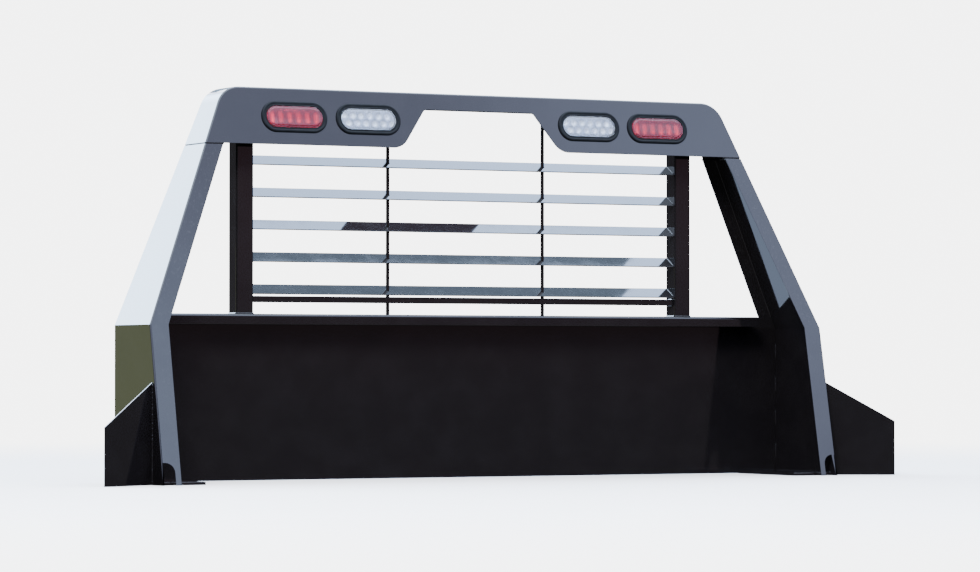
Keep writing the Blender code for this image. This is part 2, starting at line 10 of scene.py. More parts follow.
import bmesh
import bpy
from mathutils import Matrix, Vector


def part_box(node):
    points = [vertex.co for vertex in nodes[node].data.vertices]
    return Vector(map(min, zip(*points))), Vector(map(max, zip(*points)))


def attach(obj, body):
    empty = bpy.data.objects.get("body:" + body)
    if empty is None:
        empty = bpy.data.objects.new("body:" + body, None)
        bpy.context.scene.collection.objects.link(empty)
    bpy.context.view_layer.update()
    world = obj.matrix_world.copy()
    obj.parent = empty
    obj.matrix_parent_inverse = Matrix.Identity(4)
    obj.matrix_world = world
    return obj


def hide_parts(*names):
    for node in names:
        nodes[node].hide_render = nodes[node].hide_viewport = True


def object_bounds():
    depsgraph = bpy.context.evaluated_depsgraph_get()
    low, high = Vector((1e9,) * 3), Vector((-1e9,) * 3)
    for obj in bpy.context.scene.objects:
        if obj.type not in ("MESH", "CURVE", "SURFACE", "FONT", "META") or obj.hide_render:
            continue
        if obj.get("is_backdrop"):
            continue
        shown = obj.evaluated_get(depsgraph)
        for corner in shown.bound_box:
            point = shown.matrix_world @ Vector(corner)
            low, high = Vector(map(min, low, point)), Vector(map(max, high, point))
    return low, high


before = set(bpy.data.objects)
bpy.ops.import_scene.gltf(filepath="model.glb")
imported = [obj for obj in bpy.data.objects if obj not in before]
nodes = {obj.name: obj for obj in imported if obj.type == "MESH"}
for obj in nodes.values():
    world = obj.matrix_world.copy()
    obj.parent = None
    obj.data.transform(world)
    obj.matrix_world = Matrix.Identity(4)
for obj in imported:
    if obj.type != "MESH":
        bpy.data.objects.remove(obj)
cad_low, cad_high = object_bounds()

# ---------------------------------------------------------------- sizes
MM = 0.001
LEAN = math.radians(11.74)      # forward lean of the rear faces
FOLD_RADIUS = 4.5 * MM          # outside radius of a bend in the sheet
SHEET = 3.0 * MM
SHARP = math.radians(28.0)      # edges steeper than this get rounded
FLAT = math.radians(0.5)        # faces meeting at less than this are one face
THIN_FACE = 1.6 * SHEET         # faces narrower than this are cut edges of the sheet
SAME_POINT = 0.02 * MM          # CAD corners nearer than this are one corner
SLIVER = 0.06 * MM              # edges shorter than this are merged after rounding
LEVEL = 0.5 * MM                # corners this near a height count as standing on it
ON_CUT = 0.001 * MM             # corners this near a cut lie in it
UP = (0.0, 0.0, 1.0)

LAMPS = {1: "red", 2: "clear", 3: "clear", 4: "red"}
LENS_MIDDLE = 4.25 * MM         # middle of the lens solid, along the lamp's own axis
SLATS = range(1, 6)
SLAT_ANGLE = math.radians(31.0)
SLAT_WIDTH = 50.0 * MM
WING_THICKNESS = 5.0 * MM

rng = random.Random(5)


# ---------------------------------------------------------------- node helpers
def put(tree, kind, inputs=None, **settings):
    """Add a shader node, set its options, and fill or link its inputs."""
    item = tree.nodes.new(kind)
    for option, value in settings.items():
        setattr(item, option, value)
    for key, value in (inputs or {}).items():
        if isinstance(value, bpy.types.NodeSocket):
            tree.links.new(value, item.inputs[key])
        else:
            item.inputs[key].default_value = value
    return item


def value_range(tree, value, low, high, to_low, to_high, smooth=False):
    """Remap a value from low..high to to_low..to_high, clamped."""
    kind = "SMOOTHSTEP" if smooth else "LINEAR"
    item = put(tree, "ShaderNodeMapRange", {
        "Value": value, "From Min": low, "From Max": high,
        "To Min": to_low, "To Max": to_high,
    }, interpolation_type=kind, clamp=True)
    return item.outputs["Result"]


def times(tree, first, second):
    """Product of two values."""
    return put(tree, "ShaderNodeMath", {0: first, 1: second}, operation="MULTIPLY").outputs[0]


def blend_color(tree, share, first, second):
    """Colour mix; share 0 gives first, 1 gives second."""
    item = put(tree, "ShaderNodeMix", data_type="RGBA")
    sockets = {0: share, 6: first, 7: second}
    for key, value in sockets.items():
        if isinstance(value, bpy.types.NodeSocket):
            tree.links.new(value, item.inputs[key])
        elif key:
            item.inputs[key].default_value = (*value, 1.0)
        else:
            item.inputs[key].default_value = value
    return item.outputs[2]


def grain(tree, place, scale, detail=2.0, rough=0.5):
    """Noise value at a place, features about 1/scale metres long."""
    item = put(tree, "ShaderNodeTexNoise", {
        "Vector": place, "Scale": scale, "Detail": detail, "Roughness": rough,
    })
    return item.outputs[0]


def bumped(tree, height, distance, strength, below=None):
    """Normal bumped by a height; below is a coarser bump under it."""
    inputs = {"Height": height, "Distance": distance, "Strength": strength}
    if below is not None:
        inputs["Normal"] = below
    return put(tree, "ShaderNodeBump", inputs).outputs[0]


def finish_material(name, **uniform):
    """Principled material with its uniform values set on the shader's own sockets."""
    mat = bpy.data.materials.new(name)
    mat.use_nodes = True
    tree = mat.node_tree
    tree.nodes.clear()
    shader = put(tree, "ShaderNodeBsdfPrincipled")
    out = put(tree, "ShaderNodeOutputMaterial")
    tree.links.new(shader.outputs[0], out.inputs["Surface"])
    for key, value in uniform.items():
        shader.inputs[key.replace("_", " ")].default_value = value
    place = put(tree, "ShaderNodeTexCoord").outputs["Object"]
    return mat, tree, shader, place


# ---------------------------------------------------------------- materials
BLACK_COAT = ((0.0036, 0.0031, 0.0035), (0.0052, 0.0046, 0.0050))
RUBBED_COAT = (0.045, 0.045, 0.048)
DUST = (0.20, 0.19, 0.175)
DUST_SHARE = 0.10               # most dust on a level face
DUST_HAZE = 1.6                 # roughness that dust adds, times its share
WEAR_SHARE = 0.5                # most wear on an edge
BLACK_RUBBER = ((0.0040, 0.0048, 0.0058), (0.0085, 0.0098, 0.0115))
BLACK_PLASTIC = ((0.018, 0.018, 0.019), (0.030, 0.030, 0.031))
WHITE_MASK = ((0.48, 0.49, 0.50), (0.62, 0.62, 0.61))
TIN = (0.72, 0.66, 0.50)
TARNISH = (0.50, 0.43, 0.30)
RED_TINT = ((0.79, 0.045, 0.130), (0.85, 0.060, 0.160))
CLEAR_TINT = ((0.88, 0.93, 1.00), (0.92, 0.96, 1.00))
SMEARED = 0.8                   # brightness of the duller parts of a reflector cup


def make_paint():
    """Gloss black powder coat: orange peel, slow ripple, haze, dust, worn edges."""
    mat, tree, shader, place = finish_material("gloss_black_powder_coat", IOR=1.5)
    geometry = put(tree, "ShaderNodeNewGeometry")
    facing = put(tree, "ShaderNodeSeparateXYZ", {0: geometry.outputs["Normal"]})
    upward = value_range(tree, facing.outputs["Z"], 0.45, 1.0, 0.0, 1.0, True)
    specks = value_range(tree, grain(tree, place, 1500.0, 4.0, 0.7), 0.46, 0.78, 0.0, 1.0)
    drifts = value_range(tree, grain(tree, place, 11.0, 4.0, 0.6), 0.42, 0.72, 0.15, 1.0)
    dust = times(tree, times(tree, specks, drifts), upward)
    dust = times(tree, dust, DUST_SHARE)
    worn = value_range(tree, geometry.outputs["Pointiness"], 0.56, 0.66, 0.0, 1.0)
    chips = value_range(tree, grain(tree, place, 140.0, 4.0, 0.7), 0.55, 0.66, 0.0, 1.0)
    worn = times(tree, times(tree, worn, chips), WEAR_SHARE)
    coat = blend_color(tree, drifts, *BLACK_COAT)
    rubbed = blend_color(tree, worn, coat, RUBBED_COAT)
    color = blend_color(tree, dust, rubbed, DUST)
    haze = value_range(tree, grain(tree, place, 16.0, 5.0, 0.62), 0.35, 0.75, 0.045, 0.105)
    rough = put(
        tree, "ShaderNodeMath", {0: dust, 1: DUST_HAZE, 2: haze}, operation="MULTIPLY_ADD",
    )
    ripple = bumped(tree, grain(tree, place, 6.0, 1.0), 0.8 * MM, 0.35)
    peel = bumped(tree, grain(tree, place, 260.0, 2.0, 0.4), 0.014 * MM, 0.55, ripple)
    tree.links.new(color, shader.inputs["Base Color"])
    tree.links.new(rough.outputs[0], shader.inputs["Roughness"])
    tree.links.new(peel, shader.inputs["Normal"])
    return mat


def make_rubber():
    """Moulded rubber with a fine grain and a pale bloom."""
    mat, tree, shader, place = finish_material(
        "moulded_rubber", IOR=1.52, Specular_IOR_Level=0.07,
    )
    bloom = value_range(tree, grain(tree, place, 55.0, 5.0, 0.65), 0.40, 0.75, 0.0, 1.0)
    color = blend_color(tree, bloom, *BLACK_RUBBER)
    rough = value_range(tree, bloom, 0.0, 1.0, 0.36, 0.58)
    texture = bumped(tree, grain(tree, place, 1400.0, 2.0, 0.5), 0.06 * MM, 0.5)
    tree.links.new(color, shader.inputs["Base Color"])
    tree.links.new(rough, shader.inputs["Roughness"])
    tree.links.new(texture, shader.inputs["Normal"])
    return mat


def make_lens(name, deep, pale, transmission):
    """Moulded lens plastic, tinted through, with faint flow lines and scuffs."""
    mat, tree, shader, place = finish_material(name, IOR=1.49, Transmission_Weight=transmission)
    flow = value_range(tree, grain(tree, place, 38.0, 3.0, 0.5), 0.35, 0.68, 0.0, 1.0)
    scuffs = value_range(tree, grain(tree, place, 700.0, 4.0, 0.75), 0.55, 0.80, 0.03, 0.16)
    surface = bumped(tree, grain(tree, place, 120.0, 2.0), 0.05 * MM, 0.25)
    tree.links.new(blend_color(tree, flow, deep, pale), shader.inputs["Base Color"])
    tree.links.new(scuffs, shader.inputs["Roughness"])
    tree.links.new(surface, shader.inputs["Normal"])
    return mat


def make_housing():
    """Moulded black plastic with a spark-eroded grain."""
    mat, tree, shader, place = finish_material("housing_plastic_grain", IOR=1.5)
    patch = value_range(tree, grain(tree, place, 40.0, 4.0), 0.35, 0.70, 0.0, 1.0)
    color = blend_color(tree, patch, *BLACK_PLASTIC)
    rough = value_range(tree, patch, 0.0, 1.0, 0.42, 0.58)
    texture = bumped(tree, grain(tree, place, 1800.0, 3.0, 0.6), 0.05 * MM, 0.6)
    tree.links.new(color, shader.inputs["Base Color"])
    tree.links.new(rough, shader.inputs["Roughness"])
    tree.links.new(texture, shader.inputs["Normal"])
    return mat


def make_reflector(name, web, cup, cup_metal):
    """Reflector moulding: plain web, metallised cups marked by the cup attribute."""
    mat, tree, shader, place = finish_material(name, IOR=1.5)
    mark = put(tree, "ShaderNodeAttribute", attribute_name="cup").outputs["Fac"]
    smear = value_range(tree, grain(tree, place, 90.0, 4.0), 0.35, 0.70, 0.82, 1.0)
    bright = blend_color(tree, smear, tuple(SMEARED * part for part in cup), cup)
    tree.links.new(blend_color(tree, mark, web, bright), shader.inputs["Base Color"])
    metal = value_range(tree, mark, 0.0, 1.0, 0.0, cup_metal)
    tree.links.new(metal, shader.inputs["Metallic"])
    tree.links.new(value_range(tree, mark, 0.0, 1.0, 0.45, 0.26), shader.inputs["Roughness"])
    facets = bumped(tree, grain(tree, place, 500.0, 2.0), 0.05 * MM, 0.4)
    tree.links.new(facets, shader.inputs["Normal"])
    return mat


def make_board():
    """Coated circuit board with a faint glass weave."""
    mat, tree, shader, place = finish_material("board_solder_mask", IOR=1.5)
    weave = put(tree, "ShaderNodeTexWave", {
        "Vector": place, "Scale": 260.0, "Distortion": 1.5, "Detail": 2.0,
    }, wave_type="BANDS", bands_direction="DIAGONAL").outputs[1]
    stain = grain(tree, place, 60.0, 4.0)
    color = blend_color(tree, stain, *WHITE_MASK)
    tree.links.new(color, shader.inputs["Base Color"])
    tree.links.new(value_range(tree, stain, 0.3, 0.7, 0.34, 0.52), shader.inputs["Roughness"])
    tree.links.new(bumped(tree, weave, 0.02 * MM, 0.5), shader.inputs["Normal"])
    return mat


def make_metal():
    """Tinned brass of the socket pins."""
    mat, tree, shader, place = finish_material("tinned_brass", IOR=1.5, Metallic=1.0)
    tarnish = value_range(tree, grain(tree, place, 800.0, 4.0), 0.35, 0.70, 0.0, 1.0)
    color = blend_color(tree, tarnish, TIN, TARNISH)
    tree.links.new(color, shader.inputs["Base Color"])
    tree.links.new(value_range(tree, tarnish, 0.0, 1.0, 0.22, 0.40), shader.inputs["Roughness"])
    return mat


paint = make_paint()
rubber = make_rubber()
red_lens = make_lens("red_lens_plastic", *RED_TINT, transmission=0.965)
clear_lens = make_lens("clear_lens_plastic", *CLEAR_TINT, transmission=0.975)
housing_plastic = make_housing()
red_reflector = make_reflector(
    "red_lamp_reflector", web=(0.035, 0.03, 0.035), cup=(0.72, 0.70, 0.74), cup_metal=0.20,
)
clear_reflector = make_reflector(
    "clear_lamp_reflector", web=(0.26, 0.31, 0.40), cup=(0.94, 0.96, 1.00), cup_metal=0.30,
)
board_coating = make_board()
pin_metal = make_metal()


# ---------------------------------------------------------------- mesh helpers
FACE_WEIGHT = 80                # pull of large faces on the shading of their corners


def shade(mesh, angle=36.0):
    """Smooth shading that breaks at real edges."""
    mesh.shade_smooth()
    mesh.set_sharp_from_angle(angle=math.radians(angle))


def add_piece(name, mesh, material, slot, *replaced, weighted=True, placement=None):
    """One visible piece, riding on the rack and standing for its CAD nodes."""
    obj = bpy.data.objects.new(name, mesh)
    bpy.context.scene.collection.objects.link(obj)
    mesh.materials.clear()
    mesh.materials.append(material)
    if placement is not None:
        obj.matrix_world = placement
    if weighted:
        normals = obj.modifiers.new("normals", "WEIGHTED_NORMAL")
        normals.keep_sharp = True
        normals.weight = FACE_WEIGHT
    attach(obj, "root")
    if replaced:
        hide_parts(*replaced)


def as_mesh(bm, name, angle=36.0):
    """Shaded mesh made from a bmesh, which is freed."""
    mesh = bpy.data.meshes.new(name)
    bm.to_mesh(mesh)
    bm.free()
    shade(mesh, angle)
    return mesh


def node_mesh(node):
    """Copy of a CAD node's mesh with its corners welded and its flat faces merged."""
    bm = bmesh.new()
    bm.from_mesh(nodes[node].data)
    bmesh.ops.remove_doubles(bm, verts=bm.verts[:], dist=SAME_POINT)
    bmesh.ops.dissolve_limit(bm, angle_limit=FLAT, verts=bm.verts[:], edges=bm.edges[:])
    return bm


def strip_width(face):
    """Width of a face if it is a long strip: the sheet's thickness on a cut edge."""
    return 2.0 * face.calc_area() / face.calc_perimeter()


def sharp_edges(bm, wide=None, convex=None):
    """Edges steeper than SHARP, by the width of their faces and their bend."""
    found = []
    for edge in bm.edges:
        if len(edge.link_faces) != 2 or edge.calc_face_angle(0.0) < SHARP:
            continue
        if convex is not None and edge.is_convex != convex:
            continue
        width = min(strip_width(face) for face in edge.link_faces)
        if wide is not None and (width > THIN_FACE) != wide:
            continue
        found.append(edge)
    return found


def round_edges(bm, edges, radius, segments):
    """Round the given edges."""
    if edges:
        bmesh.ops.bevel(
            bm, geom=edges, offset=radius, offset_type="OFFSET", segments=segments,
            profile=0.5, affect="EDGES", clamp_overlap=False,
        )


def trim_above(bm, height):
    """Cut a body off level at a height and close the cut."""
    cut = bmesh.ops.bisect_plane(
        bm, geom=bm.verts[:] + bm.edges[:] + bm.faces[:], dist=ON_CUT,
        plane_co=(0.0, 0.0, height), plane_no=UP, clear_outer=True,
    )["geom_cut"]
    outline = [item for item in cut if isinstance(item, bmesh.types.BMEdge)]
    bmesh.ops.contextual_create(bm, geom=outline)


def refined(node, fold=False, edge_radius=0.6 * MM, segments=2, crisp=None, flush_z=None,
            top_z=None):
    """Copy of a CAD node with bend radii on its folds and rounded cut edges.

    Edges that crisp accepts stay sharp, corners near flush_z are brought level with it,
    and what stands above top_z is cut off.
    """
    bm = node_mesh(node)
    if top_z is not None:
        trim_above(bm, top_z)
    if fold:
        round_edges(bm, sharp_edges(bm, wide=True, convex=True), FOLD_RADIUS, 5)
        round_edges(bm, sharp_edges(bm, wide=True, convex=False), FOLD_RADIUS - SHEET, 4)
    thin = sharp_edges(bm)
    if crisp is not None:
        thin = [edge for edge in thin if not crisp(edge)]
    round_edges(bm, thin, edge_radius, segments)
    bmesh.ops.remove_doubles(bm, verts=bm.verts[:], dist=SLIVER)
    bmesh.ops.dissolve_degenerate(bm, dist=SLIVER, edges=bm.edges[:])
    if flush_z is not None:
        for vert in bm.verts:
            if abs(vert.co.z - flush_z) < LEVEL:
                vert.co.z = flush_z
    return as_mesh(bm, node)


# ---------------------------------------------------------------- welded frame
SEAM_GAP = 3.0 * MM             # groove between a leg's top and the head
bend_z = (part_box("lower_leg_left")[1].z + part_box("upper_leg_left")[0].z) / 2.0
seam_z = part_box("upper_leg_left")[1].z
leg_top_z = seam_z - SEAM_GAP


def at_joint(edge):
    """Leg edges at the flush-ground bend and at the groove under the head."""
    return any(
        all(abs(vert.co.z - joint) < LEVEL for vert in edge.verts)
        for joint in (bend_z, leg_top_z)
    )


head = refined("head_panel", fold=True, edge_radius=1.1 * MM)
add_piece("head_shell", head, paint, "black_paint", "head_panel")
for side in ("left", "right"):
    for stem in ("upper_leg", "lower_leg"):
        leg = refined(f"{stem}_{side}", fold=True, edge_radius=0.45 * MM, crisp=at_joint,
                      flush_z=bend_z, top_z=leg_top_z)
        add_piece(f"{stem}_{side}_channel", leg, paint, "black_paint", f"{stem}_{side}")
    for stem, radius in (("wing", 1.0), ("base_plate", 1.0), ("louvre_post", 0.5)):
        mesh = refined(f"{stem}_{side}", edge_radius=radius * MM)
        add_piece(f"{stem}_{side}_steel", mesh, paint, "black_paint", f"{stem}_{side}")

for node, radius in (
    ("bulkhead_panel", 0.7), ("bulkhead_top_rail", 0.6), ("louvre_bottom_bar", 1.2),
):
    mesh = refined(node, edge_radius=radius * MM)
    add_piece(f"{node}_steel", mesh, paint, "black_paint", node)
for number in SLATS:
    node = f"louvre_slat_{number}"
    mesh = refined(node, edge_radius=0.9 * MM, segments=3)
    add_piece(f"{node}_steel", mesh, paint, "black_paint", node)


# ---------------------------------------------------------------- rods
ROD_STEPS = 240
ROD_RIPPLE = 0.01               # share of the radius lost in the drawing marks
ROD_RIPPLE_RATE = 700.0         # radians of ripple a metre


def turned_bar(name, radius_at, z_low, z_high, steps, sides=32):
    """Round bar along Z whose radius follows radius_at(z)."""
    bm = bmesh.new()
    rings = []
    for step in range(steps + 1):
        z = z_low + (z_high - z_low) * step / steps
        radius = radius_at(z)
        rings.append([
            bm.verts.new((
                radius * math.cos(math.tau * turn / sides),
                radius * math.sin(math.tau * turn / sides), z,
            ))
            for turn in range(sides)
        ])
    for lower, upper in zip(rings, rings[1:]):
        for turn in range(sides):
            after = (turn + 1) % sides
            bm.faces.new((lower[turn], lower[after], upper[after], upper[turn]))
    bm.faces.new(reversed(rings[0]))
    bm.faces.new(rings[-1])
    return as_mesh(bm, name)


for side in ("left", "right"):
    node = f"louvre_rod_{side}"
    low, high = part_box(node)
    rod_radius = (high.x - low.x) / 2.0
    mesh = turned_bar(
        node, lambda z: rod_radius * (1.0 - ROD_RIPPLE * math.sin(z * ROD_RIPPLE_RATE) ** 2),
        low.z, high.z, ROD_STEPS,
    )
    mesh.transform(Matrix.Translation(((low.x + high.x) / 2.0, (low.y + high.y) / 2.0, 0.0)))
    add_piece(f"{node}_steel", mesh, paint, "black_paint", node)


# ---------------------------------------------------------------- weld beads
BEAD_STEP = 1.1 * MM            # spacing of the rings that make a bead
BEAD_PITCH = 3.6 * MM           # spacing of the ripples
BEAD_SIDES = 12
BEAD_CREASE = 60.0              # degrees at which a bead shades sharp
BEAD_SWELL = (0.94, 1.06)       # range that the bead's size is drawn from
SWELL_RUN = 4                   # rings that share one size
RIPPLE_VALLEY = 0.90            # share of the radius between ripples
RIPPLE_RISE = 0.16
END_SHARE = 0.15                # squared size at the very end of a bead
END_GROWTH = 0.6                # how fast it grows, per radius from the end


def even_steps(points, step, closed):
    """Points spaced evenly along a polyline."""
    points = [Vector(point) for point in points]
    if closed:
        points.append(points[0])
    result = []
    for start, end in zip(points, points[1:]):
        count = max(1, round((end - start).length / step))
        result += [start.lerp(end, index / count) for index in range(count)]
    if not closed:
        result.append(points[-1])
    return result


def lay_bead(bm, points, radius, up, closed=False):
    """Rippled weld bead along a polyline, its ends drawn in."""
    path = even_steps(points, BEAD_STEP, closed)
    count = len(path)
    rings = []
    swell = 1.0
    for index, here in enumerate(path):
        before = path[index - 1] if index or closed else here
        after = path[(index + 1) % count] if index < count - 1 or closed else here
        along = (after - before).normalized()
        across = along.cross(Vector(up)).normalized()
        over = across.cross(along)
        if index % SWELL_RUN == 0:
            swell = rng.uniform(*BEAD_SWELL)
        phase = (index * BEAD_STEP / BEAD_PITCH) % 1.0
        size = radius * swell * (RIPPLE_VALLEY + RIPPLE_RISE * math.sqrt(phase))
        if not closed:
            run = min(index, count - 1 - index) * BEAD_STEP / radius
            size *= math.sqrt(min(1.0, END_SHARE + run * END_GROWTH))
        rings.append([
            bm.verts.new(
                here
                + across * size * math.cos(math.tau * turn / BEAD_SIDES)
                + over * size * math.sin(math.tau * turn / BEAD_SIDES)
            )
            for turn in range(BEAD_SIDES)
        ])
    pairs = list(zip(rings, rings[1:]))
    if closed:
        pairs.append((rings[-1], rings[0]))
    for first, second in pairs:
        for turn in range(BEAD_SIDES):
            after = (turn + 1) % BEAD_SIDES
            bm.faces.new((first[turn], first[after], second[after], second[turn]))
    if not closed:
        bm.faces.new(reversed(rings[0]))
        bm.faces.new(rings[-1])


def weld_piece(name, beads):
    """One piece holding the weld beads given as (points, radius, up, closed)."""
    bm = bmesh.new()
    for points, radius, up, closed in beads:
        lay_bead(bm, points, radius, up, closed)
    bmesh.ops.recalc_face_normals(bm, faces=bm.faces[:])
    mesh = as_mesh(bm, name, BEAD_CREASE)
    add_piece(name, mesh, paint, "black_paint", weighted=False)


POST_BEAD = 2.3 * MM            # bead radii
SLAT_BEAD = 1.8 * MM
WING_BEAD = 2.4 * MM
PLATE_BEAD = 2.4 * MM
STITCH_BEAD = 2.2 * MM
SEAM_BEAD = 3.6 * MM
SEAM_BEAD_DEPTH = 4.3 * MM      # centre of the seam bead, in from the leg's outside
SEAM_BEAD_DROP = 0.4 * MM       # and down from the head
POST_CORNER = 5.0 * MM          # corner radius of the post tube
CORNER_STEPS = 4
POST_BEAD_LIFT = 0.4 * MM       # centre of the post bead above the rail
SLAT_BEAD_REACH = 0.40          # half length of a slat bead, in slat widths
BAR_BEAD_INSET = 3.0 * MM
WING_BEAD_ENDS = (2.0 * MM, 4.0 * MM)   # bare lengths below and above a wing bead
PLATE_BEAD_INSET = 8.0 * MM
STITCHES = 4
STITCH_FIRST = 45.0 * MM        # height of the lowest stitch
STITCH_PITCH = 95.0 * MM
STITCH_LENGTH = 38.0 * MM


def weld_post_foot(side):
    """Bead all round the foot of a post, on the rail."""
    rail_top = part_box("bulkhead_top_rail")[1].z
    low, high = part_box(f"louvre_post_{side}")
    foot = []
    for index, (x, y) in enumerate((
        (high.x, high.y), (low.x, high.y), (low.x, low.y), (high.x, low.y),
    )):
        centre_x = x - math.copysign(POST_CORNER, x - (low.x + high.x) / 2.0)
        centre_y = y - math.copysign(POST_CORNER, y - (low.y + high.y) / 2.0)
        for step in range(CORNER_STEPS + 1):
            angle = math.pi / 2.0 * (index + step / CORNER_STEPS)
            foot.append((
                centre_x + POST_CORNER * math.cos(angle),
                centre_y + POST_CORNER * math.sin(angle), rail_top + POST_BEAD_LIFT,
            ))
    weld_piece(f"post_foot_weld_{side}", [(foot, POST_BEAD, UP, True)])


def weld_slats(side, sign):
    """Beads above and below each slat, and the dark bar, where they meet a post."""
    post_low, post_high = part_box(f"louvre_post_{side}")
    inner_x = post_low.x if sign > 0 else post_high.x
    reach = Vector((0.0, math.cos(SLAT_ANGLE), math.sin(SLAT_ANGLE))) * SLAT_WIDTH * SLAT_BEAD_REACH
    beads = []
    for number in SLATS:
        low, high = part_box(f"louvre_slat_{number}")
        middle = (low + high) / 2.0
        for face in (1.0, -1.0):
            lift = Vector((0.0, -math.sin(SLAT_ANGLE), math.cos(SLAT_ANGLE))) * face * SHEET / 2.0
            centre = Vector((inner_x, middle.y, middle.z)) + lift
            beads.append(([centre - reach, centre + reach], SLAT_BEAD, lift.normalized(), False))
    low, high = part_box("louvre_bottom_bar")
    for z in (low.z, high.z):
        ends = [(inner_x, low.y + BAR_BEAD_INSET, z), (inner_x, high.y - BAR_BEAD_INSET, z)]
        beads.append((ends, SLAT_BEAD, UP, False))
    weld_piece(f"slat_weld_{side}", beads)


def weld_wing(side, sign):
    """Upright beads on both faces of a wing, where it meets the leg."""
    low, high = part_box(f"wing_{side}")
    root_x = low.x if sign > 0 else high.x
    sweep = math.atan2(high.y - low.y - WING_THICKNESS, high.x - low.x)
    root_rear = high.y - WING_THICKNESS / math.cos(sweep)
    bottom = WING_BEAD_ENDS[0]
    top = high.z - WING_BEAD_ENDS[1]
    weld_piece(f"wing_weld_{side}", [
        ([(root_x, y, bottom), (root_x, y, top)], WING_BEAD, (sign, 0.0, 0.0), False)
        for y in (high.y, root_rear)
    ])


def weld_leg_inside(side, sign):
    """Bead along the base plate and stitches along the bulkhead, inside a leg."""
    low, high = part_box(f"base_plate_{side}")
    web_x = high.x if sign > 0 else low.x
    plate_ends = [
        (web_x, low.y + PLATE_BEAD_INSET, high.z), (web_x, high.y - PLATE_BEAD_INSET, high.z),
    ]
    beads = [(plate_ends, PLATE_BEAD, UP, False)]
    panel_low, panel_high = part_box("bulkhead_panel")
    stitch_x = panel_high.x if sign > 0 else panel_low.x
    for stitch in range(STITCHES):
        z = STITCH_FIRST + STITCH_PITCH * stitch
        ends = [(stitch_x, panel_low.y, z), (stitch_x, panel_low.y, z + STITCH_LENGTH)]
        beads.append((ends, STITCH_BEAD, (sign, 0.0, 0.0), False))
    weld_piece(f"leg_inside_weld_{side}", beads)


def weld_head_seam(side, sign):
    """Bead in the groove under the head, round the outside of a leg's top."""
    end = [
        vert.co for vert in nodes[f"upper_leg_{side}"].data.vertices
        if abs(vert.co.z - seam_z) < LEVEL
    ]
    rear_y = min(co.y for co in end)
    front_y = max(co.y for co in end)
    rear_x = min(abs(co.x) for co in end if co.y - rear_y < SHEET)
    front_x = min(abs(co.x) for co in end if front_y - co.y < SHEET)
    outer_x = sign * (max(abs(co.x) for co in end) - SEAM_BEAD_DEPTH)
    rear = rear_y + SEAM_BEAD_DEPTH
    front = front_y - SEAM_BEAD_DEPTH
    bead_z = seam_z - SEAM_BEAD_DROP
    seam = [
        (sign * (rear_x - SHEET), rear, bead_z), (outer_x, rear, bead_z),
        (outer_x, front, bead_z), (sign * (front_x - SHEET), front, bead_z),
    ]
    weld_piece(f"head_seam_weld_{side}", [(seam, SEAM_BEAD, UP, False)])


for side, sign in (("left", -1.0), ("right", 1.0)):
    weld_post_foot(side)
    weld_slats(side, sign)
    weld_wing(side, sign)
    weld_leg_inside(side, sign)
    weld_head_seam(side, sign)


# ---------------------------------------------------------------- lamps
CREASE = 50.0                   # degrees at which moulded lamp pieces shade sharp
TIP_COLUMNS = 16                # grid columns round each end of an oval body
SAME_GRID_POINT = 0.002 * MM


def oval_path(length, height, arc_steps=28, side_steps=26):
    """Points of an oval with their outward directions, counter-clockwise."""
    radius = height / 2.0
    straight = length / 2.0 - radius
    path = []
    for sign in (1.0, -1.0):
        for step in range(arc_steps):
            angle = math.pi * step / arc_steps - math.pi / 2.0
            out = Vector((sign * math.cos(angle), sign * math.sin(angle)))
            path.append((Vector((sign * straight, 0.0)) + out * radius, out))
        for step in range(side_steps):
            x = sign * straight * (1.0 - 2.0 * step / side_steps)
            path.append((Vector((x, sign * radius)), Vector((0.0, sign))))
    return path


def oval_ring(name, length, height, profile):
    """Closed ring along an oval; profile is (outward, along the lamp axis) in mm."""
    bm = bmesh.new()
    path = oval_path(length, height)
    rings = [
        [bm.verts.new((*(point + out * offset * MM), z * MM)) for offset, z in profile]
        for point, out in path
    ]
    for index, ring in enumerate(rings):
        following = rings[(index + 1) % len(rings)]
        for corner in range(len(profile)):
            after = (corner + 1) % len(profile)
            bm.faces.new((ring[corner], following[corner], following[after], ring[after]))
    bmesh.ops.recalc_face_normals(bm, faces=bm.faces[:])
    return as_mesh(bm, name, CREASE)


